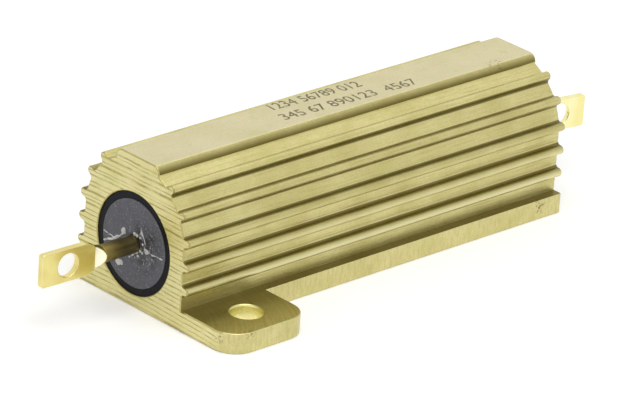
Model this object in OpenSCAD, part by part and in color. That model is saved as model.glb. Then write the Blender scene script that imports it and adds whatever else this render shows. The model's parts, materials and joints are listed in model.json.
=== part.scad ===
// Aluminium housed power resistor for chassis mounting.
// A finned aluminium extrusion, milled to leave two feet, holds a moulded
// wire-wound resistor element. A terminal lug comes out of each end.
// Millimetres. The resistor lies along X, stands on Z = 0 and has its
// origin at the centre of its base.

/* [Housing] */
// Length of the extruded housing
body_l = 50; // [44:0.5:70]
// Width across the ribs
body_w = 15.9; // [15:0.1:18]
// Height from the mounting face to the top plate
body_h = 15.35; // [15:0.05:18]
// Width of the flat top plate
plate_w = 6.1; // [4:0.1:7]
// Radius of the top plate's long edges
plate_edge_r = 0.8; // [0.2:0.05:0.9]
// Height of the top plate's long edges
plate_edge_h = 1.2; // [0.8:0.1:1.6]
// Height of the top plate above the crown of the wall between the ribs
plate_rise = 0.3; // [0.1:0.05:0.5]

/* [Ribs] */
// Height of a rib above the wall between the ribs
rib_h = 0.85; // [0.6:0.05:1]
// Thickness of a rib, which has a round tip
rib_t = 0.9; // [0.7:0.05:1.1]
// Distance between the ribs of the straight side
rib_pitch = 2.45; // [2:0.05:3]
// Angle of the lowest rib on the arch above the horizontal
rib_first_angle = 8.8; // [6:0.1:12]
// Angle between the ribs on the arch
rib_angle_step = 20.5; // [19:0.1:22]
// Number of ribs on each side of the arch
arch_ribs = 3; // [2:1:3]
// Radius of the fillet at the root of a rib
root_fillet_r = 0.35; // [0.2:0.05:0.4]

/* [Feet] */
// Thickness of the base flange and the feet
foot_t = 2.1; // [1.8:0.05:3]
// How far the milled base flange stands out past the ribs on each side
flange_out = 0.25; // [0.05:0.05:0.8]
// Radius of the flange's free corners
flange_corner_r = 0.3; // [0.1:0.1:2]
// Width over both feet
feet_w = 28.96; // [27.5:0.02:32]
// Length of a foot along the housing
foot_l = 10; // [8.5:0.1:12]
// Radius of a foot's corner at the end of the housing
foot_end_r = 2.6; // [1:0.1:3]
// Radius of a foot's other outer corner
foot_side_r = 2.4; // [0.5:0.1:3]
// Distance from a mounting hole's centre to the end of the housing
hole_end = 5.165; // [4.5:0.005:6]
// Distance from a mounting hole's centre to the outer side of its foot
hole_side = 3.76; // [3:0.01:4]
// Diameter of a mounting hole
hole_d = 3.18; // [2.5:0.01:3.5]

/* [Bore] */
// Diameter of the bore through the housing
bore_d = 10.38; // [9.5:0.02:11]
// Wall left between the bore and the mounting face
bore_floor = 1.21; // [1:0.01:2]

/* [Element] */
// Thickness of the black liner between the bore and the moulding
liner_t = 0.74; // [0.5:0.02:1]
// Depth of the liner's ends inside the bore
liner_recess = 0.15; // [0.05:0.05:0.5]
// Depth of the moulding's ends inside the bore
moulding_recess = 0.05; // [0.01:0.01:0.4]
// Diameter of the ceramic core
core_d = 5; // [4:0.1:5.4]
// Depth of the ceramic core's ends inside the housing
core_depth = 6; // [5:0.5:10]
// Length of each end cap on the core
cap_l = 4.5; // [3:0.1:6]
// Wall of an end cap
cap_wall = 0.35; // [0.25:0.05:0.5]
// Thickness of the wire winding on the core
winding_t = 0.2; // [0.1:0.02:0.3]

/* [Terminals] */
// Diameter of a terminal's round shank
shank_d = 1.8; // [1.4:0.05:2.2]
// Length of round shank outside the housing at the near end
near_shank_out = 4; // [2:0.1:6]
// Length of round shank outside the housing at the far end
far_shank_out = 2.5; // [2:0.1:6]
// Length over which the shank flattens into the lug
neck_l = 1; // [0.8:0.1:1.5]
// Width of the neck where the lug starts
neck_w = 2.3; // [2.2:0.05:2.8]
// Length of the lug from the start of its neck to its tip
lug_l = 7.3; // [6.5:0.1:9]
// Width of the lug
lug_w = 3.4; // [3:0.1:4]
// Thickness of the lug
lug_t = 0.65; // [0.5:0.05:0.8]
// Radius of the lug's tip corners
tip_r = 0.3; // [0.1:0.05:0.5]
// Diameter of the lug's eye
eye_d = 2.4; // [1.8:0.05:2.5]
// Distance from the start of the neck to the eye
eye_x = 4.2; // [3.8:0.1:5]
// Sideways bend of the near lug in degrees, towards +Y
near_bend = 1.8; // [-10:0.1:10]
// Sideways bend of the far lug in degrees, towards -Y
far_bend = 9; // [-12:0.1:12]

/* [Hidden] */
$fn = 64;

half_w = body_w / 2;
root_r = half_w - rib_h;           // half-width of the wall between the ribs
arch_z = body_h - plate_rise - root_r;  // height of the centre of the arch
flange_w = body_w + 2 * flange_out;
hole_x = body_l / 2 - hole_end;
hole_y = feet_w / 2 - hole_side;
bore_z = bore_floor + bore_d / 2;  // height of the bore's axis
liner_r = bore_d / 2;
liner_x = body_l / 2 - liner_recess;
moulding_r = liner_r - liner_t;
moulding_x = body_l / 2 - moulding_recess;
core_x = body_l / 2 - core_depth;
cap_r = core_d / 2 + cap_wall;
cap_end_x = core_x + cap_wall;     // outer face of an end cap
cap_rim_x = cap_end_x - cap_l;     // open rim of an end cap
press_lead = 0.05;                 // how much wider than the shank the flattening starts
cut = 1;                           // how far a cutter reaches past a face

// Height of the lowest rib on the arch, from which the straight side's ribs go down
first_rib_z = arch_z + (half_w - rib_t / 2) * sin(rib_first_angle);
// Room that the straight side has for ribs above the flange
side_room = first_rib_z - rib_t / 2 - root_fillet_r - foot_t - root_fillet_r;
side_ribs = floor(side_room / rib_pitch);

// ---- Housing ----

// Fills the corner between a rib's side and the wall, and leaves a round of
// radius root_fillet_r. centre is the round's centre, foot its end on the wall.
module root_fillet(centre, foot) {
  difference() {
    polygon([[centre.x, centre.y - root_fillet_r], centre, foot, [root_r - rib_h, 0]]);
    translate(centre) circle(root_fillet_r);
  }
}

// A rib that points along +X, on a wall that is round about the origin or flat
module rib(round_wall) {
  tip_x = half_w - rib_t / 2;
  fillet_y = rib_t / 2 + root_fillet_r;
  fillet_reach = root_r + root_fillet_r;
  centre = [round_wall ? sqrt(fillet_reach ^ 2 - fillet_y ^ 2) : fillet_reach, fillet_y];
  foot = round_wall ? centre * root_r / fillet_reach : [root_r, fillet_y];
  translate([root_r - rib_h, -rib_t / 2]) square([tip_x - root_r + rib_h, rib_t]);
  translate([tip_x, 0]) circle(rib_t / 2);
  for (side = [0, 1]) mirror([0, side]) root_fillet(centre, foot);
}

// All ribs of the +X side of the section
module rib_row() {
  translate([0, arch_z])
    for (i = [0 : arch_ribs - 1]) rotate(rib_first_angle + i * rib_angle_step) rib(true);
  for (i = [1 : side_ribs]) translate([0, first_rib_z - i * rib_pitch]) rib(false);
}

// The flat top plate with its two rounded long edges
module plate_section() {
  plate_root_z = body_h - plate_edge_h;
  translate([-plate_w / 2, plate_root_z - cut])
    square([plate_w, plate_edge_h + cut - plate_edge_r]);
  translate([-plate_w / 2 + plate_edge_r, plate_root_z])
    square([plate_w - 2 * plate_edge_r, plate_edge_h]);
  for (side = [-1, 1])
    translate([side * (plate_w / 2 - plate_edge_r), body_h - plate_edge_r])
      circle(plate_edge_r);
}

// Cross-section of the housing above the base flange, with Y across and Z up
module upper_section() {
  translate([0, arch_z]) circle(root_r);
  translate([-root_r, 0]) square([2 * root_r, arch_z]);
  for (side = [0, 1]) mirror([side, 0]) rib_row();
  plate_section();
}

// Cuts the corner that points to +X +Y at the origin, and leaves a round of radius r
module corner_cutter(r) {
  translate([-r, -r]) difference() {
    square(r + cut);
    circle(r);
  }
}

// Outline of the foot at the -X -Y corner, seen from above
module foot_outline() {
  translate([-body_l / 2, -feet_w / 2]) difference() {
    square([foot_l, feet_w / 2]);
    rotate(180) corner_cutter(foot_end_r);
    translate([foot_l, 0]) rotate(270) corner_cutter(foot_side_r);
  }
}

// Outline of the base flange with both feet and their holes, seen from above
module base_outline() {
  difference() {
    union() {
      square([body_l, flange_w], center = true);
      for (turn = [0, 180]) rotate(turn) foot_outline();
    }
    for (turn = [0, 180]) rotate(turn) {
      translate([body_l / 2, -flange_w / 2]) rotate(270) corner_cutter(flange_corner_r);
      translate([-hole_x, -hole_y]) circle(hole_d / 2);
    }
  }
}

// A round bar along X about the bore's axis
module bar(r, x_from, x_to) {
  translate([x_from, 0, bore_z]) rotate([0, 90, 0]) cylinder(r = r, h = x_to - x_from);
}

module housing() {
  color("darkkhaki") difference() {
    union() {
      rotate([90, 0, 90]) linear_extrude(body_l, center = true) upper_section();
      linear_extrude(foot_t) base_outline();
    }
    bar(liner_r, -body_l / 2 - cut, body_l / 2 + cut);
  }
}

// ---- Element ----

module bore_liner() {
  color("black") difference() {
    bar(liner_r, -liner_x, liner_x);
    bar(moulding_r, -body_l / 2, body_l / 2);
  }
}

module moulded_body() {
  color("dimgray") difference() {
    bar(moulding_r, -moulding_x, moulding_x);
    bar(shank_d / 2, -body_l / 2, body_l / 2);
    bar(core_d / 2 + winding_t, -core_x, core_x);
    for (side = [0, 1]) mirror([side, 0]) bar(cap_r, cap_rim_x, cap_end_x);
  }
}

module ceramic_core() {
  color("ivory") bar(core_d / 2, -core_x, core_x);
}

// The fine turns lie side by side and make one sleeve on the core
module resistance_winding() {
  color("peru") difference() {
    bar(core_d / 2 + winding_t, -cap_rim_x, cap_rim_x);
    bar(core_d / 2, -core_x, core_x);
  }
}

// The cap on the core's +X end
module end_cap() {
  color("silver") difference() {
    bar(cap_r, cap_rim_x, cap_end_x);
    bar(core_d / 2, 0, core_x);
  }
}

module near_end_cap() {
  mirror([1, 0]) end_cap();
}

module far_end_cap() {
  end_cap();
}

// ---- Terminals ----
// Each is drawn along +X from the bore's axis in the plane of the housing's end.

// The stretch where the round shank spreads sideways and is pressed flat
module neck() {
  intersection() {
    rotate([0, 90, 0]) cylinder(d1 = shank_d, d2 = neck_w, h = neck_l);
    linear_extrude(neck_w, center = true)
      polygon([[0, shank_d / 2 + press_lead], [neck_l, lug_t / 2],
               [neck_l, -lug_t / 2], [0, -shank_d / 2 - press_lead]]);
  }
}

// The flat lug with its round inner end and its eye, from the start of its neck
module lug() {
  inner_x = neck_l + sqrt(lug_w ^ 2 - neck_w ^ 2) / 2;
  rotate([90, 0, 0]) linear_extrude(lug_t, center = true) difference() {
    union() {
      translate([inner_x, 0]) circle(lug_w / 2);
      translate([inner_x, -lug_w / 2]) square([lug_l - inner_x, lug_w]);
    }
    translate([eye_x, 0]) circle(eye_d / 2);
    for (side = [0, 1]) mirror([0, side])
      translate([lug_l, lug_w / 2]) corner_cutter(tip_r);
  }
}

// A whole terminal, bent at its neck by bend degrees clockwise from above
module terminal(shank_out, bend) {
  shank_in = body_l / 2 - cap_end_x;
  color("gold") {
    translate([-shank_in, 0, 0]) rotate([0, 90, 0])
      cylinder(r = shank_d / 2, h = shank_in + shank_out);
    translate([shank_out, 0, 0]) {
      neck();
      translate([neck_l, 0, 0]) rotate(-bend) translate([-neck_l, 0, 0]) lug();
    }
  }
}

module near_terminal() {
  translate([-body_l / 2, 0, bore_z]) rotate(180) terminal(near_shank_out, near_bend);
}

module far_terminal() {
  translate([body_l / 2, 0, bore_z]) terminal(far_shank_out, far_bend);
}

housing();
bore_liner();
moulded_body();
ceramic_core();
resistance_winding();
near_end_cap();
far_end_cap();
near_terminal();
far_terminal();
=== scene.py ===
# %% [markdown]
# # A ribbed aluminium power resistor
#
# The real part is a small wire-wound resistor in a finned aluminium housing, which is screwed to
# a metal plate through two feet. The housing is one extrusion, sawn to length and coloured pale
# gold. A dark moulded disc shows in each end inside a black rim, and a round terminal comes out
# of the disc and is pressed into a flat lug with an eye.
#
# The imported model already has every piece at its real size. This lesson gives each piece its
# softened edges, its surface and its small signs of making, and then the studio round it.
# The first step loads that model and keeps its box.

# %% Load the imported model
import json
import math

import bmesh
import bpy
from mathutils import Matrix, Vector, noise


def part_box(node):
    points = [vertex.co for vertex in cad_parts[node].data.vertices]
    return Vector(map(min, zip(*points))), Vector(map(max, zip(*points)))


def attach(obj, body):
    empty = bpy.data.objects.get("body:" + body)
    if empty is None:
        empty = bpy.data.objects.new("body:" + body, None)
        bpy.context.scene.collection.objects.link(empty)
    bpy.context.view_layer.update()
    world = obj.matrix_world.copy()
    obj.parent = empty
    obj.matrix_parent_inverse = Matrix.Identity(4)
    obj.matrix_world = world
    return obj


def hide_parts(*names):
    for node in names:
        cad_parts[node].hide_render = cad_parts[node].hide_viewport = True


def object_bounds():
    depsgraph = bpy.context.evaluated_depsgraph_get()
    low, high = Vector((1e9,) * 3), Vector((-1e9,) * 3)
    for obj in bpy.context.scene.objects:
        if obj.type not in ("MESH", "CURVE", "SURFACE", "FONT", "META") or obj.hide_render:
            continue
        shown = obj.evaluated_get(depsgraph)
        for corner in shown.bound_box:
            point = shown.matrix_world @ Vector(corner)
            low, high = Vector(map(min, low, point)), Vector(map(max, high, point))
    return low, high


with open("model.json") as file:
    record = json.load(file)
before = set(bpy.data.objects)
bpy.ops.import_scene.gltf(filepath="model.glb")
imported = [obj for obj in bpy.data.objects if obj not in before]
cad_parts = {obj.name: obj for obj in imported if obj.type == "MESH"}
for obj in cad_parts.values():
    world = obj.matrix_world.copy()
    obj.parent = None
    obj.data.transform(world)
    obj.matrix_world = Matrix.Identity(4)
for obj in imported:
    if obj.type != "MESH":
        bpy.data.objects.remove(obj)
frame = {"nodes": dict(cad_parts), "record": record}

cad_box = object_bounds()
mm = 0.001  # one millimetre in Blender's metres
print("nodes:", sorted(frame["nodes"]))
print("size in mm:", [round(side / mm, 2) for side in cad_box[1] - cad_box[0]])

# %% [markdown]
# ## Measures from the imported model
#
# Positions are read from the model and never typed in. The housing's box gives its ends, its top
# and the reach of its feet. The moulding's box gives the bore's axis and the disc's radius. The
# foot holes stand in the part's record as a bolt circle, and their angle follows from the hole's
# distance to the side of its foot, because the two holes lie on one diagonal. The walls between
# the ribs lie on an arch, whose crown is a little under the plate, and below the arch's centre
# they go straight down.

# %% Read the measures
housing_low, housing_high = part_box("housing")
liner_low, liner_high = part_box("bore_liner")
moulding_low, moulding_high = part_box("moulded_body")
winding_low, winding_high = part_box("resistance_winding")
core_low, core_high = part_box("ceramic_core")
near_low, near_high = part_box("near_terminal")
for label, low, high in (("housing", housing_low, housing_high), ("rim", liner_low, liner_high),
                         ("core", core_low, core_high), ("near terminal", near_low, near_high)):
    print(label, "in mm:", [round(side / mm, 2) for side in high - low])

end_x = housing_high.x
top_z = housing_high.z
axis_z = (moulding_low.z + moulding_high.z) / 2
moulding_r = (moulding_high.z - moulding_low.z) / 2
disc_x = moulding_low.x

wall_r = 7.1 * mm  # the arch of the walls
plate_rise = 0.3 * mm  # from the arch's crown to the plate's top
arch_z = top_z - plate_rise - wall_r

hole_to_side = 3.76 * mm  # from a foot hole to the side of its foot
hole_y = housing_high.y - hole_to_side
foot_holes = next(m for m in frame["record"]["mounts"] if m["name"] == "foot_holes")["dims"]
hole_circle_r = foot_holes["pcd_mm"] / 2 * mm
hole_r = foot_holes["hole_r_mm"] * mm
hole_place = Vector((-math.sqrt(hole_circle_r ** 2 - hole_y ** 2), -hole_y, 0))
print("bore axis at", round(axis_z / mm, 2), "mm, disc radius", round(moulding_r / mm, 2), "mm")
print("near foot hole at", [round(v / mm, 2) for v in hole_place])

# %% [markdown]
# ## Helpers for node trees
#
# Every finish below is a small tree of nodes. Built by hand, a tree takes many lines, so one
# helper makes a node, fills its sockets and links whatever is passed as a socket. All patterns
# read Object coordinates through a Mapping node that turns metres into millimetres. So a noise
# with scale 4 has about four features in each millimetre, on every piece.

# %% Nodes and sums
def node(tree, kind, inputs=None, **settings):
    """Adds a node. A value in inputs is set on the socket, and a socket is linked to it."""
    made = tree.nodes.new(kind)
    for name, value in settings.items():
        setattr(made, name, value)
    for name, value in (inputs or {}).items():
        if isinstance(value, bpy.types.NodeSocket):
            tree.links.new(value, made.inputs[name])
        else:
            made.inputs[name].default_value = value
    return made


def maths(tree, operation, first, second=0.0):
    """One sum on two numbers or sockets."""
    return node(tree, "ShaderNodeMath", {0: first, 1: second}, operation=operation).outputs[0]


def product(tree, *factors):
    """The product of several numbers or sockets."""
    total = factors[0]
    for factor in factors[1:]:
        total = maths(tree, "MULTIPLY", total, factor)
    return total


def distance(tree, first, second):
    """How long a step of first one way and second across it is."""
    squares = maths(tree, "ADD", product(tree, first, first), product(tree, second, second))
    return maths(tree, "POWER", squares, 0.5)


print("a node, a sum, a product and a distance can be made")

# %% Places
def in_mm(tree, stretch=(1, 1, 1), turn=(0, 0, 0)):
    """Object coordinates in millimetres, each axis times its own stretch."""
    place = node(tree, "ShaderNodeTexCoord").outputs["Object"]
    scale = [factor / mm for factor in stretch]
    return node(tree, "ShaderNodeMapping",
                {"Vector": place, "Scale": scale, "Rotation": turn}).outputs["Vector"]


def parts_of(tree, where):
    """The X, Y and Z of a vector, by name."""
    return node(tree, "ShaderNodeSeparateXYZ", {"Vector": where}).outputs


print("one unit of a pattern is", mm, "m")

# %% Patterns
def speckle(tree, where, scale, detail=2.0, rough=0.5):
    """Noise between 0 and 1 with about scale features in each unit of where."""
    made = node(tree, "ShaderNodeTexNoise", {"Vector": where, "Scale": scale, "Detail": detail,
                                             "Roughness": rough})
    return made.outputs["Fac"]


def speckle_line(tree, along, scale):
    """Noise between 0 and 1 that changes only with one number."""
    return node(tree, "ShaderNodeTexNoise", {"W": along, "Scale": scale, "Detail": 2.0},
                noise_dimensions="1D").outputs["Fac"]


def spread(tree, value, low, high, to_low=0.0, to_high=1.0):
    """Maps low to high of value onto to_low to to_high, and clamps the rest."""
    made = node(tree, "ShaderNodeMapRange", {"Value": value, "From Min": low, "From Max": high,
                                             "To Min": to_low, "To Max": to_high})
    return made.outputs["Result"]


def blend(tree, amount, first, second):
    """Mixes two colours by an amount between 0 and 1."""
    made = node(tree, "ShaderNodeMix", data_type="RGBA")
    for number, value in ((0, amount), (6, first), (7, second)):
        if isinstance(value, bpy.types.NodeSocket):
            tree.links.new(value, made.inputs[number])
        else:
            made.inputs[number].default_value = value
    return made.outputs[2]


print("patterns can be made, spread and blended")

# %% Material helpers
def rgb(red, green, blue):
    """A colour written in the usual 0 to 255 of a screen, as Blender's linear colour."""
    def linear(value):
        value /= 255
        return value / 12.92 if value <= 0.04045 else ((value + 0.055) / 1.055) ** 2.4
    return (linear(red), linear(green), linear(blue), 1.0)


def new_material(name):
    """A material with an empty tree, its shader and its output already linked."""
    made = bpy.data.materials.new(name)
    made.use_nodes = True
    tree = made.node_tree
    tree.nodes.clear()
    shader = node(tree, "ShaderNodeBsdfPrincipled")
    node(tree, "ShaderNodeOutputMaterial", {"Surface": shader.outputs["BSDF"]})
    return made, tree, shader


def finish_shader(tree, shader, colour, roughness, height, depth, **constants):
    """Links colour, roughness and bump to the shader, and sets constants on its own sockets."""
    bump = node(tree, "ShaderNodeBump", {"Height": height, "Distance": depth}).outputs["Normal"]
    for name, socket in (("Base Color", colour), ("Roughness", roughness), ("Normal", bump)):
        tree.links.new(socket, shader.inputs[name])
    for name, value in constants.items():
        shader.inputs[name.replace("_", " ")].default_value = value


print("a middle grey of 128 is", round(rgb(128, 128, 128)[0], 3), "in linear light")

# %% [markdown]
# ## Helpers for pieces
#
# Two kinds of piece are needed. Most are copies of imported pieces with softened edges, because a
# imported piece's own mesh is never changed. The others, such as the winding's turns and the
# printed figures, repeat or follow a path, and a Geometry Nodes tree makes those. In both cases
# the modifiers are turned into a plain mesh before the piece is handed over.

# %% Plain pieces
def placed(piece_name, mesh):
    """Puts a mesh in the scene as an object at the origin."""
    piece = bpy.data.objects.new(piece_name, mesh)
    bpy.context.scene.collection.objects.link(piece)
    return piece


def applied(piece):
    """Turns a piece and its modifiers into a plain mesh on the same object."""
    graph = bpy.context.evaluated_depsgraph_get()
    mesh = bpy.data.meshes.new_from_object(piece.evaluated_get(graph), depsgraph=graph)
    piece.modifiers.clear()
    piece.data = mesh
    mesh.name = piece.name
    return piece


def handed_over(piece, slot, *nodes):
    """Rides a finished piece on the body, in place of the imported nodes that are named."""
    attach(piece, "root")
    if nodes:
        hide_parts(*nodes)


print("pieces can be placed, made plain and handed over")

# %% Geometry Nodes trees
def new_recipe(name, **inputs):
    """A Geometry Nodes tree with named inputs. Gives the tree and the inputs' sockets."""
    tree = bpy.data.node_groups.new(name, "GeometryNodeTree")
    tree.interface.new_socket("Geometry", in_out="OUTPUT", socket_type="NodeSocketGeometry")
    for label, kind in inputs.items():
        tree.interface.new_socket(label, in_out="INPUT", socket_type="NodeSocket" + kind)
    return tree, node(tree, "NodeGroupInput").outputs


def finish_recipe(tree, geometry, material):
    """Ends a tree: instances become real, and every face gets the material."""
    real = node(tree, "GeometryNodeRealizeInstances", {"Geometry": geometry})
    coloured = node(tree, "GeometryNodeSetMaterial", {"Geometry": real.outputs["Geometry"],
                                                      "Material": material})
    node(tree, "NodeGroupOutput", {"Geometry": coloured.outputs["Geometry"]})


def cooked(piece_name, tree, **values):
    """Runs a tree with the given inputs and keeps the result as a plain mesh."""
    piece = placed(piece_name, bpy.data.meshes.new(piece_name))
    modifier = piece.modifiers.new(piece_name, "NODES")
    modifier.node_group = tree
    for item in tree.interface.items_tree:
        if item.in_out == "INPUT":
            modifier[item.identifier] = values[item.name]
    return applied(piece)


print("trees can be written and cooked")

# %% [markdown]
# ## The gold-coloured aluminium
#
# The housing has one colour but several surfaces. The ribs keep the fine lines that the extrusion
# die drew along them. The ends show the lines of a saw. The feet and the sides of the base flange
# were milled, which leaves short upright marks. The top plate is the smoothest and palest. Its
# round sides are painted darker towards the walls, and a thin darker line is painted round each
# sawn end; both are painted shade. All of these are one metal, so one function builds them, and
# each material adds its own marks.
#
# Anodised aluminium is a metal under a thin clear layer. Metallic is therefore 1, and a weak
# coat stands for the clear layer. The dye never takes evenly, so the gold drifts a little
# towards green and towards rose.
#
# Four things change the colour by place. The corner at the foot of each rib is painted deep, as
# painted shade for the light that meets the gold metal twice there. The tips of the lower ribs get a
# painted highlight. The edges are rubbed paler, with a few dark nicks. And a few spots took a
# knock, which left small dark strokes.

# %% Colours of the metal
GOLD = rgb(204, 194, 130)
PALE_GOLD = rgb(218, 209, 148)
DARK_GOLD = rgb(150, 138, 72)
# paler for rubbed edges, and as a painted highlight on the rib tips
RUBBED_AND_HIGHLIGHT_GOLD = rgb(228, 221, 172)
GREEN_GOLD = rgb(196, 196, 122)
ROSE_GOLD = rgb(218, 200, 150)
# painted shade: the rib corners, the plate's round sides, the sawn edge and the foot beside the wall
PAINTED_SHADE_GOLD = rgb(84, 72, 12)
NICK = rgb(96, 84, 48)
print("gold in linear light:", [round(part, 2) for part in GOLD[:3]])

# %% [markdown]
# ## Edges and the painted rib-corner shade by formula
#
# Colours that depend on a place can be painted or computed. Painting needs an image for every
# surface, so they are computed here. A Bevel node finds the edges: its normal leaves the true one there.
# The painted shade in the rib corners follows the walls' arch, so the distance to the arch's centre
# finds it. Two kinds of rib side mirror open air and get no painted shade: the highest rib's upper
# side and the low ribs' lower sides.

# %% Edges
def edge_mask(tree, reach):
    """1 on edges and 0 on flat ground, from how far a rounded normal leaves the true one."""
    rounded = node(tree, "ShaderNodeBevel", {"Radius": reach}, samples=4).outputs["Normal"]
    true = node(tree, "ShaderNodeNewGeometry").outputs["Normal"]
    match = node(tree, "ShaderNodeVectorMath", {0: rounded, 1: true}, operation="DOT_PRODUCT")
    return spread(tree, match.outputs["Value"], 0.995, 0.93)


print("an edge counts where the normals differ by", round(math.degrees(math.acos(0.995)), 1),
      "degrees or more")

# %% Painted shade in the rib corners, painted highlight on the rib tips
# Where the ribs stand, as the part's source has them, in millimetres and radians.
TOP_RIB_ANGLE = math.radians(49.8)
LOW_RIB_Z = 9.1
LOW_RIB_PITCH = 2.45
# the second rib's painted corner shade is lighter between these heights
SECOND_RIB = ((10.4, 10.9), (12.3, 12.7))  # from where to where its corner is paler
PLATE_EDGE = (3.1, 3.4)  # how far out the plate's own round side ends


def past_the_wall(tree, parts):
    """How far a point stands out from the walls, which are an arch on two upright planes."""
    above = maths(tree, "MAXIMUM", maths(tree, "SUBTRACT", parts["Z"], arch_z / mm), 0.0)
    return maths(tree, "SUBTRACT", distance(tree, parts["Y"], above), wall_r / mm)


def open_sides(tree, parts):
    """1 on the rib sides that face open air: the top one's upper side, the low ones' lower."""
    out = product(tree, maths(tree, "ABSOLUTE", parts["Y"]), math.sin(TOP_RIB_ANGLE))
    up = product(tree, maths(tree, "SUBTRACT", parts["Z"], arch_z / mm), math.cos(TOP_RIB_ANGLE))
    upper = spread(tree, maths(tree, "SUBTRACT", up, out), 0.1, 0.35)
    below = maths(tree, "SUBTRACT", LOW_RIB_Z, parts["Z"])
    steps = maths(tree, "FRACT", maths(tree, "DIVIDE", below, LOW_RIB_PITCH))
    lower = product(tree, spread(tree, steps, 0.03, 0.15), spread(tree, steps, 0.4, 0.5, 1.0, 0.0),
                    spread(tree, parts["Z"], 9.3, 10.0, 1.0, 0.0))
    return maths(tree, "MAXIMUM", upper, lower)


def rib_corner_painted_shade(tree):
    """Painted shade: deep in the corner at a rib's foot, nothing on the walls, and fading out to its
    tip.
    """
    parts = parts_of(tree, in_mm(tree))
    out = past_the_wall(tree, parts)
    off_wall = spread(tree, out, 0.015, 0.05)
    beside_plate = spread(tree, maths(tree, "ABSOLUTE", parts["Y"]), *PLATE_EDGE)
    closed = spread(tree, open_sides(tree, parts), 0.0, 1.0, 1.0, 0.04)
    second_rib = product(tree, spread(tree, parts["Z"], *SECOND_RIB[0]),
                         spread(tree, parts["Z"], *SECOND_RIB[1], 1.0, 0.0))
    paler = spread(tree, second_rib, 0.0, 1.0, 1.0, 0.75)
    to_tip = spread(tree, out, 0.4, 0.9, 0.8, 0.0)
    return product(tree, off_wall, beside_plate, closed, paler, to_tip)


def rib_tip_painted_highlight(tree):
    """A painted highlight on the outermost line of each lower rib, most on the lowest."""
    parts = parts_of(tree, in_mm(tree))
    return product(tree, spread(tree, parts["Z"], 3.5, 9.5, 1.0, 0.0),
                   spread(tree, past_the_wall(tree, parts), 0.68, 0.84))


print("the walls' arch has its centre", round(arch_z / mm, 2), "mm above the mounting face")

# %% Scuffs
# Places on the metal that took a knock: x, y, z and radius in millimetres.
SCUFFS = [(19.9, -2.5, 15.3, 1.2), (-25.0, -12.5, 1.4, 0.7), (21.8, -8.0, 1.3, 1.1),
          (-22.6, -14.4, 1.9, 0.9)]


def scuffed(tree, where):
    """Small dark strokes at the scuffs, from 0 to 1."""
    strokes = speckle(tree, in_mm(tree, (0.6, 1.0, 1.0), (0.3, 0.5, 0.2)), 4.5)
    strokes = spread(tree, strokes, 0.55, 0.62)
    near = 0.0
    for x, y, z, radius in SCUFFS:
        away = node(tree, "ShaderNodeVectorMath", {0: where, 1: (x, y, z)}, operation="DISTANCE")
        spot = spread(tree, away.outputs["Value"], radius * 0.4, radius, 1.0, 0.0)
        near = maths(tree, "MAXIMUM", near, spot)
    return product(tree, strokes, near)


print("scuffs:", len(SCUFFS))

# %% One function for every surface of the metal
def aluminium(name, base=GOLD, pale=PALE_GOLD, marks=None, mark_strength=0.0, mark_depth=0.0,
              roughness=0.36, corners=None, tips=None, rub=0.5, nicks=0.5, grit=0.25):
    """The gold metal. marks, corners and tips each draw a pattern between 0 and 1; corners draws painted
    shade, tips a painted highlight.

    rub, nicks and grit say how strongly edges pale, edges darken and the grain shows."""
    made, tree, shader = new_material(name)
    where = in_mm(tree)
    clouds = speckle(tree, where, 0.25, detail=3.0)
    grain = speckle(tree, where, 6.0, detail=3.0, rough=0.6)
    colour = blend(tree, spread(tree, clouds, 0.35, 0.65), base, pale)
    dye = speckle(tree, where, 0.7, detail=3.0)
    colour = blend(tree, spread(tree, dye, 0.3, 0.45, 0.35, 0.0), colour, GREEN_GOLD)
    colour = blend(tree, spread(tree, dye, 0.55, 0.7, 0.0, 0.35), colour, ROSE_GOLD)
    colour = blend(tree, spread(tree, grain, 0.3, 0.6, grit, 0.0), colour, DARK_GOLD)
    height = product(tree, grain, 0.35)
    if marks:
        lines = marks(tree)
        colour = blend(tree, product(tree, lines, mark_strength), colour, DARK_GOLD)
        lines_height = product(tree, lines, -mark_depth)
        height = maths(tree, "ADD", height, lines_height)
    edges = edge_mask(tree, 0.18 * mm)
    patches = speckle(tree, where, 1.3, detail=3.0)
    rubbed = product(tree, edges, spread(tree, patches, 0.4, 0.6, 0.2, rub))
    colour = blend(tree, rubbed, colour, RUBBED_AND_HIGHLIGHT_GOLD)
    nicked = product(tree, edges, spread(tree, patches, 0.68, 0.74, 0.0, nicks))
    colour = blend(tree, nicked, colour, NICK)
    colour = blend(tree, product(tree, scuffed(tree, where), 0.7), colour, NICK)
    # painted highlight on the rib tips
    if tips:
        colour = blend(tree, product(tree, tips(tree), 0.95), colour, RUBBED_AND_HIGHLIGHT_GOLD)
    # painted shade: the rib corners, the plate's round sides, the sawn edge and the foot beside the wall
    if corners:
        colour = blend(tree, corners(tree), colour, PAINTED_SHADE_GOLD)
    rough = spread(tree, grain, 0.3, 0.7, roughness - 0.05, roughness + 0.07)
    finish_shader(tree, shader, colour, rough, height, 0.02 * mm, Metallic=1.0,
                  Coat_Weight=0.05, Coat_Roughness=0.3)
    return made


print("pale gold in linear light:", [round(part, 2) for part in PALE_GOLD[:3]])

# %% [markdown]
# ## Tool marks
#
# Each tool leaves its own pattern. The die's lines hardly change along X, so their noise is
# stretched far along X. The saw's lines follow one another about half a millimetre apart, in very
# wide arcs, because the blade is large: the distance to the blade's centre, in steps, draws them.
# They are deepest on one side, perhaps because the blade left the metal there. The milling cutter
# turns beside the part and leaves short marks that hardly change along Z, and arcs on top of the
# feet.
#
# Two more surfaces get painted shade, as the rib corners do: the plate's sides and the foot near a wall.

# %% Lines of the die and of the saw
BLADE_R = 220.0
SAW_STEP = 0.5


def die_lines(tree):
    """Fine lines along the extrusion, which hardly change along X."""
    fine = speckle(tree, in_mm(tree, (0.02, 1, 1)), 11.0)
    return spread(tree, fine, 0.5, 0.72)


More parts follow.
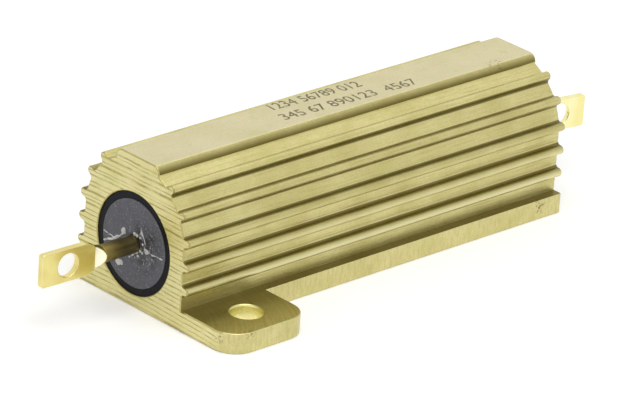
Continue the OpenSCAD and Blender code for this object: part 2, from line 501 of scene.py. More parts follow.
def saw_lines(tree):
    """Thin wide arcs of a large saw blade, which fade out here and there."""
    where = in_mm(tree)
    parts = parts_of(tree, where)
    across = maths(tree, "ADD", parts["Y"], 1.0)
    up = maths(tree, "ADD", parts["Z"], BLADE_R)
    drift = product(tree, speckle(tree, where, 0.3), 0.3)
    reach = maths(tree, "ADD", distance(tree, across, up), drift)
    uneven = product(tree, speckle_line(tree, reach, 0.9), 1.5)
    steps = maths(tree, "ADD", maths(tree, "DIVIDE", reach, SAW_STEP), uneven)
    away = maths(tree, "ABSOLUTE", maths(tree, "SUBTRACT", maths(tree, "FRACT", steps), 0.5))
    strength = spread(tree, speckle(tree, in_mm(tree, (1, 0.5, 1)), 1.2), 0.4, 0.58, 0.35, 1.0)
    deep_side = spread(tree, parts["Y"], 4.3, 5.8)
    strength = maths(tree, "MAXIMUM", strength, deep_side)
    return product(tree, spread(tree, away, 0.04, 0.2, 1.0, 0.0), strength)


print("saw: a line every", SAW_STEP, "mm, on arcs of", BLADE_R, "mm")

# %% Marks of the milling cutter
CUTTER_X, CUTTER_Y = -31.0, -6.0


def mill_marks(tree):
    """Upright marks of the milling cutter, which hardly change along Z."""
    fine = speckle(tree, in_mm(tree, (1, 1, 0.16)), 4.5, detail=3.0)
    return spread(tree, fine, 0.45, 0.72)


def mill_arcs(tree):
    """Faint arcs on top of the foot, from the cutter's face."""
    parts = parts_of(tree, in_mm(tree))
    along = maths(tree, "SUBTRACT", parts["X"], CUTTER_X)
    across = maths(tree, "SUBTRACT", parts["Y"], CUTTER_Y)
    line = speckle_line(tree, distance(tree, along, across), 3.2)
    return spread(tree, line, 0.42, 0.7)


print("cutter: arcs round", (CUTTER_X, CUTTER_Y), "mm")

# %% Painted shade on the plate's sides and the foot
def plate_side_painted_shade(tree):
    """Painted shade on the lower half of the plate's round side, where it turns down to the wall."""
    height = parts_of(tree, in_mm(tree))["Z"]
    return spread(tree, height, top_z / mm - 0.6, top_z / mm - 0.02, 0.76, 0.0)


def foot_painted_shade(tree):
    """Painted shade on the strip of the foot that mirrors the wall above it, deepest beside the wall."""
    out = maths(tree, "ABSOLUTE", parts_of(tree, in_mm(tree))["Y"])
    return spread(tree, out, wall_r / mm + 0.9, wall_r / mm + 6.5, 0.8, 0.0)


print("the wall stands", round(wall_r / mm, 2), "mm from the middle plane")

# %% The housing's materials
# the ribs take the painted shade in their corners and a painted highlight on their tips
skin = aluminium("gold_extruded", marks=die_lines, mark_strength=0.3, mark_depth=0.4,
                 corners=rib_corner_painted_shade, tips=rib_tip_painted_highlight)
open_skin = aluminium("gold_extruded_open", marks=die_lines, mark_strength=0.3, mark_depth=0.4,
                      tips=rib_tip_painted_highlight)
plate = aluminium("gold_plate", rgb(216, 207, 164), rgb(222, 213, 174), marks=die_lines,
                  mark_strength=0.08, mark_depth=0.1, roughness=0.42)
# the plate's round side: a darker base and painted shade towards the wall
shaded_plate_side = aluminium("gold_plate_side", rgb(190, 180, 118), rgb(200, 190, 128),
                       marks=die_lines, mark_strength=0.2, mark_depth=0.3, rub=0.2,
                       corners=plate_side_painted_shade)
sawn = aluminium("gold_sawn", rgb(216, 208, 148), rgb(227, 219, 165), marks=saw_lines,
                 mark_strength=0.8, mark_depth=1.2, roughness=0.4)
# the thin line round each sawn end: a darker base as painted shade, with the painted corner shade
shaded_sawn_edge = aluminium("gold_sawn_edge", rgb(168, 156, 92), rgb(186, 174, 108), rub=0.3,
                      roughness=0.4, corners=rib_corner_painted_shade)
milled = aluminium("gold_milled", rgb(208, 199, 138), rgb(220, 211, 152), marks=mill_marks,
                   mark_strength=0.28, mark_depth=0.6)
# the foot's top: painted shade beside the wall
foot_top = aluminium("gold_foot_top", rgb(208, 198, 136), rgb(220, 210, 150), marks=mill_arcs,
                     mark_strength=0.22, mark_depth=0.4, roughness=0.32, corners=foot_painted_shade)
drilled = aluminium("gold_drilled", rgb(244, 237, 176), rgb(250, 244, 190), rub=0.2, nicks=0.0,
                    roughness=0.3, grit=0.05)
FINISHES = [skin, plate, shaded_plate_side, sawn, shaded_sawn_edge, milled, foot_top, drilled, open_skin]
print("aluminium finishes:", [finish.name for finish in FINISHES])

# %% [markdown]
# ## The housing with softened edges
#
# A sawn or milled edge is never perfectly sharp. It is broken by tumbling, and a narrow round
# there is what catches the light. A Bevel modifier makes it, but only where it should: each
# edge's bevel weight says how wide its round is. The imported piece's loose triangles are merged
# first and its flat areas are joined into single faces, so that the bevel meets clean corners.
# Weighted normals keep the large faces flat while the narrow rounds shade smoothly.

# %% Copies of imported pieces
SHARP_ANGLE = math.radians(40)  # an edge is rounded from here
SMOOTH_ANGLE = math.radians(35)  # and shades as one surface up to here


def merged_copy(node_name, piece_name):
    """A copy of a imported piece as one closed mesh, with its flat areas as single faces."""
    mesh = frame["nodes"][node_name].data.copy()
    mesh.materials.clear()
    work = bmesh.new()
    work.from_mesh(mesh)
    bmesh.ops.remove_doubles(work, verts=work.verts, dist=0.002 * mm)
    bmesh.ops.dissolve_limit(work, angle_limit=math.radians(0.5), verts=work.verts,
                             edges=work.edges)
    work.to_mesh(mesh)
    work.free()
    return placed(piece_name, mesh)


print("edges sharper than", round(math.degrees(SHARP_ANGLE)), "degrees will be rounded")

# %% Round and shade
def weigh_edges(piece, weight_of):
    """Gives each sharp outward edge the bevel weight that weight_of returns."""
    work = bmesh.new()
    work.from_mesh(piece.data)
    layer = work.edges.layers.float.new("bevel_weight_edge")
    count = 0
    for edge in work.edges:
        if len(edge.link_faces) == 2 and edge.calc_face_angle_signed() > SHARP_ANGLE:
            edge[layer] = weight_of(edge)
            count += 1
    work.to_mesh(piece.data)
    work.free()
    return count


def soften(piece, width):
    """Rounds the weighted edges and gives the piece its smooth shading."""
    bevel = piece.modifiers.new("round_edges", "BEVEL")
    bevel.limit_method = "WEIGHT"
    bevel.width = width
    bevel.segments = 3
    bevel.use_clamp_overlap = False
    bevel.miter_outer = "MITER_SHARP"
    bevel.loop_slide = False
    applied(piece)
    piece.data.shade_smooth()
    piece.data.set_sharp_from_angle(angle=SMOOTH_ANGLE)
    normals = piece.modifiers.new("even_shading", "WEIGHTED_NORMAL")
    normals.keep_sharp = True
    return applied(piece)


def softened(node_name, piece_name, width, *finishes):
    """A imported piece's copy with every sharp edge rounded, and with its finishes."""
    piece = merged_copy(node_name, piece_name)
    count = weigh_edges(piece, lambda edge: 1.0)
    soften(piece, width)
    for finish in finishes:
        piece.data.materials.append(finish)
    print(piece_name + ":", count, "edges rounded,", len(piece.data.polygons), "faces")
    return piece


print("surfaces shade as one up to", round(math.degrees(SMOOTH_ANGLE)), "degrees")

# %% Round the housing's edges
EDGE_ROUND = 0.12 * mm
HOLE_ROUND = 0.25 * mm


def from_hole(point):
    """How far a point is from the axis of the nearer foot hole."""
    side = 1 if point.x * hole_place.x > 0 else -1
    return (Vector((point.x, point.y)) - side * hole_place.xy).length


def edge_weight(edge):
    """The full round on a foot hole's rim, and a narrower one on every other edge."""
    on_hole = all(from_hole(corner.co) < hole_r * 1.05 for corner in edge.verts)
    return 1.0 if on_hole else EDGE_ROUND / HOLE_ROUND


shell = merged_copy("housing", "ribbed_housing")
count = weigh_edges(shell, edge_weight)
soften(shell, HOLE_ROUND)
print("housing:", count, "edges rounded,", len(shell.data.polygons), "faces")

# %% [markdown]
# ## A finish for each surface of the housing
#
# One mesh can carry several materials, and each face holds the number of its own. Where a face
# lies and which way it faces say how it was made: at an end and facing along X it was sawn, low
# down it was milled, and inside a foot hole it was drilled. A rib's side that looks at the open
# room or at the floor mirrors nothing dark, so it takes the metal without the painted corner shade.

# %% Number the faces
plate_low = top_z - 1.3 * mm
plate_side_low = top_z - 0.75 * mm
plate_half = 3.1 * mm
plate_round = 0.5 * mm  # how far the plate's round side reaches out
top_rib_z = 13.6 * mm
low_rib_top = 9.0 * mm
flange_top = 2.15 * mm
rib_out = 7.97 * mm  # just past the rib tips
end_zone = end_x - 0.2 * mm


def finish_of(face):
    """The finish of a face, from its middle and from how far it looks along each axis."""
    middle, normal = face.center, face.normal
    at_end = abs(middle.x) > end_zone
    if from_hole(middle) < hole_r * 1.02 and middle.z < flange_top:
        return drilled
    if at_end and abs(normal.x) > 0.97:
        return sawn
    foot_corner = abs(middle.y) > rib_out and abs(normal.z) < 0.2
    if at_end and abs(normal.x) > 0.2 and not foot_corner:
        return shaded_sawn_edge
    if middle.z > plate_low and abs(middle.y) < plate_half and normal.z > 0.9:
        return plate
    if middle.z > plate_low and abs(middle.y) < plate_half + plate_round and abs(normal.y) > 0.42:
        return shaded_plate_side if middle.z > plate_side_low else skin
    if flange_top > middle.z > 0.5 * flange_top and normal.z > 0.9:
        return foot_top
    if middle.z < flange_top or abs(middle.y) > rib_out:
        return milled
    if middle.z > top_rib_z or (middle.z < low_rib_top and normal.z < -0.02):
        return open_skin
    return skin


for finish in FINISHES:
    shell.data.materials.append(finish)
counts = {finish.name: 0 for finish in FINISHES}
for face in shell.data.polygons:
    finish = finish_of(face)
    face.material_index = FINISHES.index(finish)
    counts[finish.name] += 1
handed_over(shell, "housing_aluminium", "housing")
print("faces of each finish:", counts)

# %% [markdown]
# ## The moulded body, its rim and the flash
#
# The element is moulded into a dark grey body that shows at each end as a disc. The disc is not
# clean: thin pale seams of flash run across it where the mould closed, and small lumps stand
# beside the terminal. The rim round it is black filler. The disc and the rim are softened copies,
# and the flash is real geometry, because a visible shape shouldn't be only a bump: each seam is a
# thin bead through a few points, sunk half into the disc. Beside the terminal the moulding was
# ground back, which left it mottled dark with pale chips.

# %% Finishes of the mouldings
SHANK_Y = -1.3  # the ground spot's middle


def moulded(name, dark, light, roughness, fleck, fleck_amount, scorch=0.0, **constants):
    """A matt moulded material with soft clouds, small flecks and fine scratches.

    scorch mottles it beside the terminal."""
    made, tree, shader = new_material(name)
    where = in_mm(tree)
    clouds = speckle(tree, where, 0.8, detail=4.0)
    grain = speckle(tree, where, 12.0)
    colour = blend(tree, spread(tree, clouds, 0.3, 0.7), dark, light)
    if scorch:
        parts = parts_of(tree, where)
        up = maths(tree, "SUBTRACT", parts["Z"], axis_z / mm)
        across = maths(tree, "SUBTRACT", parts["Y"], SHANK_Y)
        near_shank = spread(tree, distance(tree, up, across), 1.6, 3.0, 1.0, 0.0)
        mottle = spread(tree, speckle(tree, where, 1.2, detail=3.0, rough=0.6), 0.42, 0.52)
        mottle = product(tree, mottle, near_shank)
        colour = blend(tree, product(tree, mottle, scorch), colour, (0, 0, 0, 1))
        chips = spread(tree, speckle(tree, where, 2.4), 0.6, 0.64)
        chips = product(tree, chips, near_shank)
        colour = blend(tree, product(tree, chips, scorch), colour, fleck)
    flecks = spread(tree, speckle(tree, where, 6.6), 0.62, 0.7)
    colour = blend(tree, product(tree, flecks, fleck_amount), colour, fleck)
    turned = in_mm(tree, (1.0, 0.15, 6.0), (0.6, 0, 0))
    scratches = spread(tree, speckle(tree, turned, 2.0), 0.66, 0.72)
    colour = blend(tree, product(tree, scratches, fleck_amount * 0.5), colour, fleck)
    edges = edge_mask(tree, 0.12 * mm)
    colour = blend(tree, product(tree, edges, 0.35), colour, fleck)
    height = maths(tree, "ADD", product(tree, clouds, 1.5), product(tree, grain, 0.5))
    rough = spread(tree, clouds, 0.3, 0.7, roughness - 0.08, roughness + 0.08)
    finish_shader(tree, shader, colour, rough, height, 0.03 * mm, **constants)
    return made


slate = moulded("slate_moulding", rgb(75, 75, 83), rgb(89, 89, 98), 0.5, rgb(158, 160, 168), 0.7,
                scorch=0.7)
filler = moulded("black_filler", rgb(9, 9, 13), rgb(20, 19, 24), 0.4, rgb(70, 68, 66), 0.12,
                 Specular_IOR_Level=0.12)
flash = moulded("pale_flash", rgb(176, 174, 170), rgb(226, 225, 220), 0.45, rgb(240, 240, 238),
                0.5)
print("moulded finishes:", slate.name, filler.name, flash.name)

# %% Disc and rim
DISC_ROUND = 0.1 * mm
RIM_ROUND = 0.08 * mm
element = softened("moulded_body", "moulded_element", DISC_ROUND, slate)
handed_over(element, "grey_moulding", "moulded_body")
rim = softened("bore_liner", "black_rim", RIM_ROUND, filler)
handed_over(rim, "black_liner", "bore_liner")

# %% [markdown]
# ## Flash on the near disc
#
# The tree takes a path and draws a round bead along it. Noise on the radius and on the place
# makes it uneven, with a fixed seed. The path is a plain mesh of a few edges, so the same tree
# serves every seam. The lumps are squashed balls whose surface is pushed in and out by noise.

# %% Seam tree
seam_tree, seam_in = new_recipe("seam_bead", Path="Object", Radius="Float", Waver="Float",
                                Seed="Float", Finish="Material")
path = node(seam_tree, "GeometryNodeObjectInfo", {"Object": seam_in["Path"]})
line = node(seam_tree, "GeometryNodeMeshToCurve", {"Mesh": path.outputs["Geometry"]})
fine = node(seam_tree, "GeometryNodeResampleCurve",
            {"Curve": line.outputs["Curve"], "Length": 0.1 * mm}, mode="LENGTH")
place = node(seam_tree, "GeometryNodeInputPosition").outputs["Position"]
ripple = node(seam_tree, "ShaderNodeTexNoise",
              {"Vector": place, "W": seam_in["Seed"], "Scale": 2.0 / mm}, noise_dimensions="4D")
centred = node(seam_tree, "ShaderNodeVectorMath",
               {0: ripple.outputs["Color"], 1: (0.5, 0.5, 0.5)}, operation="SUBTRACT")
sway = node(seam_tree, "ShaderNodeVectorMath",
            {0: centred.outputs["Vector"], "Scale": seam_in["Waver"]}, operation="SCALE")
moved = node(seam_tree, "GeometryNodeSetPosition",
             {"Geometry": fine.outputs["Curve"], "Offset": sway.outputs["Vector"]})
width = spread(seam_tree, ripple.outputs["Fac"], 0.38, 0.58, 0.1, 1.0)
section = node(seam_tree, "GeometryNodeCurvePrimitiveCircle",
               {"Resolution": 8, "Radius": seam_in["Radius"]})
bead = node(seam_tree, "GeometryNodeCurveToMesh",
            {"Curve": moved.outputs["Geometry"], "Profile Curve": section.outputs["Curve"],
             "Scale": width, "Fill Caps": True})
finish_recipe(seam_tree, bead.outputs["Mesh"], seam_in["Finish"])
print("seam tree:", len(seam_tree.nodes), "nodes")

# %% Seams on the disc
# Each seam has its radius and its points (y, z), in millimetres from the disc's axis.
SEAMS = {
    "upper": (0.17, [(4.2, -1.1), (3.6, -0.8), (2.7, -0.4), (1.95, 0.1), (1.5, 0.7)]),
    "left": (0.09, [(4.25, -0.1), (3.8, -0.2), (3.1, -0.25), (2.6, -0.4)]),
    "right": (0.12, [(-0.95, 1.8), (-1.15, 1.45), (-1.5, 0.95), (-1.65, 0.5), (-1.6, 0.0),
                     (-1.9, -0.15), (-2.6, -0.2), (-3.2, -0.15), (-4.2, -0.1)]),
    "lower": (0.17, [(0.5, -1.55), (0.0, -1.1), (-0.55, -0.65), (-0.67, -0.2)]),
}
SEAM_SINK = 0.02 * mm  # how far a seam's middle line lies under the disc's face
SEAM_WAVER = 0.25 * mm


def path_of(points):
    """A mesh of edges through points on the near disc's face."""
    mesh = bpy.data.meshes.new("path")
    corners = [(disc_x + SEAM_SINK, y * mm, axis_z + z * mm) for y, z in points]
    mesh.from_pydata(corners, [(i, i + 1) for i in range(len(corners) - 1)], [])
    return placed("path", mesh)


beads = []
for number, (seam, (radius, points)) in enumerate(SEAMS.items()):
    path = path_of(points)
    beads.append(cooked("seam_" + seam, seam_tree, Path=path, Radius=radius * mm,
                        Waver=SEAM_WAVER, Seed=float(number), Finish=flash))
    bpy.data.objects.remove(path)
print("seams:", {piece.name: len(piece.data.polygons) for piece in beads})

# %% Lumps beside the terminal
# Each lump is (y, z, radius) in millimetres, from the disc's axis.
LUMPS = [(2.0, -2.6, 0.36), (1.6, -2.5, 0.28), (1.45, 0.8, 0.34), (-0.7, -1.0, 0.14),
         (-1.9, -0.15, 0.28), (-0.1, 1.05, 0.2), (-0.45, 1.0, 0.18), (-1.1, 1.45, 0.16),
         (-1.0, -0.4, 0.15), (-1.3, -0.5, 0.13), (-0.9, 0.95, 0.12), (-1.3, 0.4, 0.12)]
SWELL = 0.35  # how uneven a lump is
SQUASH = 0.4  # how high it stands for its width


def lump(y, z, radius):
    """A squashed uneven ball, sunk half into the disc."""
    work = bmesh.new()
    bmesh.ops.create_icosphere(work, subdivisions=3, radius=1.0)
    middle = Vector((disc_x, y * mm, axis_z + z * mm))
    for corner in work.verts:
        swell = 1 + SWELL * noise.noise(corner.co * 1.7 + Vector((y, z, 0)))
        spot = corner.co * radius * swell * mm
        corner.co = middle + Vector((spot.x * SQUASH, spot.y, spot.z))
    mesh = bpy.data.meshes.new("lump")
    work.to_mesh(mesh)
    work.free()
    mesh.shade_smooth()
    mesh.materials.append(flash)
    return placed("lump", mesh)


def joined(piece_name, parts):
    """Joins several pieces into one."""
    with bpy.context.temp_override(active_object=parts[0], selected_editable_objects=parts):
        bpy.ops.object.join()
    parts[0].name = parts[0].data.name = piece_name
    return parts[0]


for piece in beads:
    piece.data.shade_smooth()
seams = joined("moulding_flash", beads + [lump(*values) for values in LUMPS])
handed_over(seams, "grey_moulding")
print("flash:", len(seams.data.polygons), "faces")

# %% [markdown]
# ## Inside the body: core, winding and caps
#
# These pieces are sealed in, and no view shows them unless the housing is hidden. They still get
# their real look. The core is a ceramic rod. The winding is one wire wound turn against turn from
# cap to cap, so a tree sweeps a round section along a spiral. The caps are pressed steel cups.

# %% Finishes of the inner pieces
def metal(name, base, worn, roughness, scale, stretch=(1, 1, 1), grit=1.0):
    """A bare metal with soft clouds and paler edges. grit says how much its grain shows."""
    made, tree, shader = new_material(name)
    where = in_mm(tree)
    clouds = speckle(tree, where, 0.55, detail=0.5)
    grain = speckle(tree, in_mm(tree, stretch), scale, detail=3.0)
    colour = blend(tree, spread(tree, clouds, 0.35, 0.65), base, worn)
    colour = blend(tree, spread(tree, grain, 0.55, 0.75, 0.0, 0.3 * grit), colour, worn)
    edges = product(tree, edge_mask(tree, 0.1 * mm), 0.4)
    colour = blend(tree, edges, colour, (0.9, 0.9, 0.86, 1))
    rough = spread(tree, grain, 0.3, 0.7, roughness - 0.04 * grit, roughness + 0.08 * grit)
    finish_shader(tree, shader, colour, rough, grain, 0.008 * grit * mm, Metallic=1.0)
    return made


ceramic = moulded("core_ceramic", rgb(226, 221, 206), rgb(238, 234, 222), 0.55,
                  rgb(196, 188, 170), 0.3)
wire_metal = metal("resistance_wire", rgb(170, 150, 128), rgb(146, 128, 106), 0.28, 14.0)
steel = metal("cap_steel", rgb(192, 192, 196), rgb(168, 168, 172), 0.3, 7.0, (1, 0.1, 0.1))

core_finishes = frame["nodes"]["ceramic_core"].data.materials
core_finishes.clear()
core_finishes.append(ceramic)
CAP_ROUND = 0.1 * mm
for side in ("near", "far"):
    cap = softened(side + "_end_cap", side + "_cup", CAP_ROUND, steel)
    handed_over(cap, "cap_steel", side + "_end_cap")

# %% The winding's tree
coil_tree, coil_in = new_recipe("wound_wire", Turns="Float", Radius="Float", Length="Float",
                                Wire="Float", Start="Vector", Finish="Material")
spiral = node(coil_tree, "GeometryNodeCurveSpiral", {
    "Resolution": 16, "Rotations": coil_in["Turns"], "Start Radius": coil_in["Radius"],
    "End Radius": coil_in["Radius"], "Height": coil_in["Length"]})
section = node(coil_tree, "GeometryNodeCurvePrimitiveCircle",
               {"Resolution": 6, "Radius": coil_in["Wire"]})
wire = node(coil_tree, "GeometryNodeCurveToMesh",
            {"Curve": spiral.outputs["Curve"], "Profile Curve": section.outputs["Curve"],
             "Fill Caps": True})
laid = node(coil_tree, "GeometryNodeTransform",
            {"Geometry": wire.outputs["Mesh"], "Translation": coil_in["Start"],
             "Rotation": (0, math.pi / 2, 0)})
finish_recipe(coil_tree, laid.outputs["Geometry"], coil_in["Finish"])
print("winding tree:", len(coil_tree.nodes), "nodes")

# %% Wind the wire
WIRE_R = 0.1 * mm
winding_r = (winding_high.z - winding_low.z) / 2
wound_length = winding_high.x - winding_low.x - 2 * WIRE_R
turns = int(wound_length / (2 * WIRE_R))
coil = cooked("wire_winding", coil_tree, Turns=float(turns), Radius=winding_r - WIRE_R,
              Length=wound_length, Wire=WIRE_R,
              Start=(winding_low.x + WIRE_R, 0.0, axis_z), Finish=wire_metal)
coil.data.shade_smooth()
handed_over(coil, "resistance_wire", "resistance_winding")
print("winding:", turns, "turns,", len(coil.data.polygons), "faces")

# %% [markdown]
# ## The terminals
#
# Each terminal is one round wire, pressed flat into a lug, punched with an eye and plated. Where
# the round turns into the flat the press leaves a narrow face, whose near-white finish is a painted
# highlight, the brightest spot on the part. The shank's darker finish is painted shade, for the dark
# disc that it mirrors, and the far lug's plating is painted paler than the near one's, as lit and
# shaded copies of one plating. So the lugs are softened copies with three finishes, chosen by where
# a face lies and which way it faces.

# %% Finishes of the terminals
# one plating in two copies: the near lug's painted darker as shade, the far lug's paler as lit
near_plating_shaded = metal("plated_near_lug", rgb(236, 224, 150), rgb(226, 208, 130), 0.24, 5.0,
                   grit=0.08)
far_plating_lit = metal("plated_far_lug", rgb(250, 244, 190), rgb(244, 234, 162), 0.24, 5.0, grit=0.08)
# painted highlight on the press face
press_face_highlight = metal("plated_press_face", rgb(252, 249, 224), rgb(248, 242, 206), 0.3, 5.0,
                    grit=0.1)
# painted shade: the shank mirrors the dark disc
shank_painted_shade = metal("plated_shank", rgb(160, 146, 98), rgb(126, 112, 70), 0.32, 8.0,
                    (0.1, 1, 1))
print("terminal finishes:", near_plating_shaded.name, far_plating_lit.name, press_face_highlight.name, shank_painted_shade.name)

# %% Lugs
LUG_ROUND = 0.07 * mm
BLADE, PRESSED, SHANK = range(3)
for side, blade_metal, shank_length in (("near", near_plating_shaded, 4.02 * mm),
                                        ("far", far_plating_lit, 2.52 * mm)):
    lug = softened(side + "_terminal", side + "_lug", LUG_ROUND,
                   blade_metal, press_face_highlight, shank_painted_shade)
    for face in lug.data.polygons:
        normal = face.normal
        pressed = 0.35 < abs(normal.x) < 0.7 and abs(normal.y) > 0.7
        on_shank = abs(normal.x) < 0.2 and abs(face.center.x) < end_x + shank_length
        face.material_index = PRESSED if pressed else SHANK if on_shank else BLADE
    handed_over(lug, "terminal_metal", side + "_terminal")

# %% [markdown]
# ## The printed figures
#
# The maker prints two lines of ink on the top plate. Here they are plain counting figures, so
# they name nothing. String to Curves writes them, Fill Curve and Extrude give the ink a thin
# body, a flattened bead along each outline makes the ink bleed a little past its shape, and
# Transform narrows the letters and turns the lines a little, as a hand-held stamp does.
# The plate is set lower by the ink's thickness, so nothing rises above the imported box.

# %% Ink
def ink_material():
    """Worn ink: dark where it is thick, and close to the metal where it is thin."""
    made, tree, shader = new_material("dark_ink")
    where = in_mm(tree)
    worn = spread(tree, speckle(tree, where, 4.0, detail=4.0, rough=0.65), 0.42, 0.66)
    colour = blend(tree, worn, rgb(88, 78, 54), rgb(164, 154, 114))
    rough = spread(tree, worn, 0.0, 1.0, 0.55, 0.7)
    finish_shader(tree, shader, colour, rough, worn, 0.004 * mm)
    return made


ink = ink_material()
INK_DEPTH = 0.008 * mm
INK_BLEED = 0.02 * mm
on_top = [corner for corner in shell.data.vertices if corner.co.z > top_z - 0.0005 * mm]
for corner in on_top:
    corner.co.z -= INK_DEPTH
print("plate lowered at", len(on_top), "corners")

# %% Figure tree
print_tree, print_in = new_recipe("printed_line", Figures="String", Size="Float",
                                  Squeeze="Vector", Depth="Float", Bleed="Float",
                                  Place="Vector", Turn="Vector", Finish="Material")
figures = node(print_tree, "GeometryNodeStringToCurves",
               {"String": print_in["Figures"], "Size": print_in["Size"]})
figures.font = bpy.data.fonts.load("<builtin>")
outline = node(print_tree, "GeometryNodeRealizeInstances",
               {"Geometry": figures.outputs["Curve Instances"]}).outputs["Geometry"]
flat = node(print_tree, "GeometryNodeFillCurve", {"Curve": outline}).outputs["Mesh"]
raised = node(print_tree, "GeometryNodeExtrudeMesh",
              {"Mesh": flat, "Offset Scale": print_in["Depth"], "Individual": False})
under = node(print_tree, "GeometryNodeFlipFaces", {"Mesh": flat})
stroke = node(print_tree, "GeometryNodeCurvePrimitiveCircle",
              {"Resolution": 6, "Radius": print_in["Bleed"]})
edge = node(print_tree, "GeometryNodeCurveToMesh",
            {"Curve": outline, "Profile Curve": stroke.outputs["Curve"]})
pressed = node(print_tree, "GeometryNodeTransform",
               {"Geometry": edge.outputs["Mesh"], "Scale": (1, 1, 0.08)})
both = node(print_tree, "GeometryNodeJoinGeometry")
for part in (raised.outputs["Mesh"], under.outputs["Mesh"], pressed.outputs["Geometry"]):
    print_tree.links.new(part, both.inputs["Geometry"])
closed = node(print_tree, "GeometryNodeMergeByDistance",
              {"Geometry": both.outputs["Geometry"], "Distance": 0.0005 * mm})
narrow = node(print_tree, "GeometryNodeTransform",
              {"Geometry": closed.outputs["Geometry"], "Scale": print_in["Squeeze"]})
stamped = node(print_tree, "GeometryNodeTransform",
               {"Geometry": narrow.outputs["Geometry"], "Translation": print_in["Place"],
                "Rotation": print_in["Turn"]})
finish_recipe(print_tree, stamped.outputs["Geometry"], print_in["Finish"])
print("figure tree:", len(print_tree.nodes), "nodes")

# %% Two printed lines
# Each line has its figures, where it starts (x, y) in millimetres, and its squeeze.
FIGURE_SIZE = 1.98 * mm
PRINT_TURN = math.radians(-2.0)
LINES = {"upper": ("1234 56789 012", -6.9, 1.2, 0.91),
         "lower": ("345 67 890123  4567", -7.4, -1.25, 1.02)}
printed = []
for name, (words, x, y, squeeze) in LINES.items():
    line = cooked("printed_" + name, print_tree, Figures=words, Size=FIGURE_SIZE,
                  Squeeze=(squeeze, 1.0, 1.0), Depth=INK_DEPTH, Bleed=INK_BLEED,
                  Place=(x * mm, y * mm, top_z - INK_DEPTH),
                  Turn=(0.0, 0.0, PRINT_TURN), Finish=ink)
    low, high = (Vector(line.bound_box[i]) for i in (0, 6))
    print(line.name, [round(v / mm, 2) for v in low], [round(v / mm, 2) for v in high])
    printed.append(line)
figures_piece = joined("printed_figures", printed)
handed_over(figures_piece, "housing_aluminium")
print("print:", len(figures_piece.data.polygons), "faces")

# %% [markdown]
# ## The studio
#
# The part stands on a white floor in a white room. A metal shows what it mirrors, so the room
# matters more than the lamps: it is white nearly everywhere, and only the side in front of the
# part, above the floor, is dimmer, as a room is where the viewer stands. The world and the floor
# show camera and mirror rays their full white, and give scattered light at a plain level. The
# floor lies a hair under the part, because two faces in one plane flicker.

# %% Floor
FLOOR_SHOWN = 0.25
FLOOR_GAP = 0.02 * mm


def floor_material():
    """A matt white that also shines a little where the camera or a mirror sees it."""
    made, tree, shader = new_material("white_floor")
    seen = node(tree, "ShaderNodeLightPath")
    shown = maths(tree, "MAXIMUM", seen.outputs["Is Camera Ray"], seen.outputs["Is Glossy Ray"])
    shown = maths(tree, "MAXIMUM", shown, seen.outputs["Is Transmission Ray"])
    shader.inputs["Base Color"].default_value = (0.9, 0.9, 0.9, 1)
    shader.inputs["Roughness"].default_value = 0.9
    shader.inputs["Emission Color"].default_value = (1, 1, 1, 1)
    tree.links.new(product(tree, shown, FLOOR_SHOWN), shader.inputs["Emission Strength"])
    return made


bpy.ops.mesh.primitive_plane_add(size=4, location=(0, 0, -FLOOR_GAP))
floor = bpy.context.object
floor.name = "floor"
floor.data.materials.append(floor_material())
print("floor:", round(floor.location.z / mm, 3), "mm")

# %% Room
FRONT = Vector((0.64, -0.66, 0.40)).normalized()
FRONT_DIM = 0.94
FRONT_FROM = 0.7
FRONT_TO = 0.98
FILL = 0.55

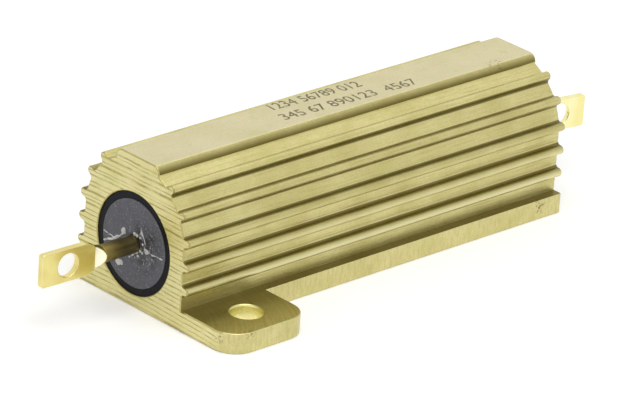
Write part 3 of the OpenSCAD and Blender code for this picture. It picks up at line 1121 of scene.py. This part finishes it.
world = bpy.data.worlds.new("studio")
bpy.context.scene.world = world
world.use_nodes = True
tree = world.node_tree
tree.nodes.clear()
seen = node(tree, "ShaderNodeLightPath")
direction = node(tree, "ShaderNodeTexCoord").outputs["Generated"]
facing = node(tree, "ShaderNodeVectorMath", {0: direction, 1: FRONT}, operation="DOT_PRODUCT")
room = spread(tree, facing.outputs["Value"], FRONT_FROM, FRONT_TO, 1.0, FRONT_DIM)
dull = product(tree, room, FILL)
reflected = maths(tree, "MAXIMUM", seen.outputs["Is Glossy Ray"],
                  seen.outputs["Is Transmission Ray"])
level = node(tree, "ShaderNodeMix", {"Factor": reflected, 2: dull, 3: room}, data_type="FLOAT")
level = node(tree, "ShaderNodeMix", {"Factor": seen.outputs["Is Camera Ray"],
                                     2: level.outputs[0], 3: 1.0}, data_type="FLOAT")
back = node(tree, "ShaderNodeBackground", {"Color": (1, 1, 1, 1), "Strength": level.outputs[0]})
node(tree, "ShaderNodeOutputWorld", {"Surface": back.outputs["Background"]})
print("room: dimmer towards", [round(v, 2) for v in FRONT])

# %% Lamp
def towards(azimuth, elevation):
    """The direction from the part to a viewer or lamp at these angles, in degrees."""
    a, e = math.radians(azimuth), math.radians(elevation)
    return Vector((math.sin(a) * math.cos(e), -math.cos(a) * math.cos(e), math.sin(e)))


lamp_data = bpy.data.lights.new("top_light", "AREA")
lamp_data.size = 0.4
lamp_data.energy = 1.2
lamp = bpy.data.objects.new("top_light", lamp_data)
bpy.context.scene.collection.objects.link(lamp)
lamp_way = towards(-20, 75)
lamp.location = (cad_box[0] + cad_box[1]) / 2 + lamp_way * 0.5
lamp.rotation_euler = lamp_way.to_track_quat("Z", "Y").to_euler()
print("lamp:", round(lamp_data.energy, 2), "W")

# %% [markdown]
# ## The camera
#
# A long lens from about half a metre keeps the ribs nearly parallel. The camera looks down on the
# near end, is turned a few degrees about its own axis, and the part fills most of the width.

# %% Camera
view_azimuth, view_elevation = -44.35, 23.73
view_roll = math.radians(4.02)
view_distance = 0.5017
view_target = Vector((-5.0, -3.0, 7.0)) * mm

away = towards(view_azimuth, view_elevation)
right = Vector((-away.y, away.x, 0)).normalized()
up = away.cross(right)
right, up = (right * math.cos(view_roll) + up * math.sin(view_roll),
             up * math.cos(view_roll) - right * math.sin(view_roll))
turned = Matrix((right, up, away)).transposed().to_4x4()

camera = bpy.data.objects.new("camera", bpy.data.cameras.new("camera"))
bpy.context.scene.collection.objects.link(camera)
camera.matrix_world = Matrix.Translation(view_target + away * view_distance) @ turned
camera.data.sensor_width = 36.0
camera.data.lens = 301.6
camera.data.clip_start = 0.05
bpy.context.scene.camera = camera
bpy.context.scene.view_settings.view_transform = "Standard"
print("camera:", round(camera.data.lens, 1), "mm lens,", view_distance, "m away")
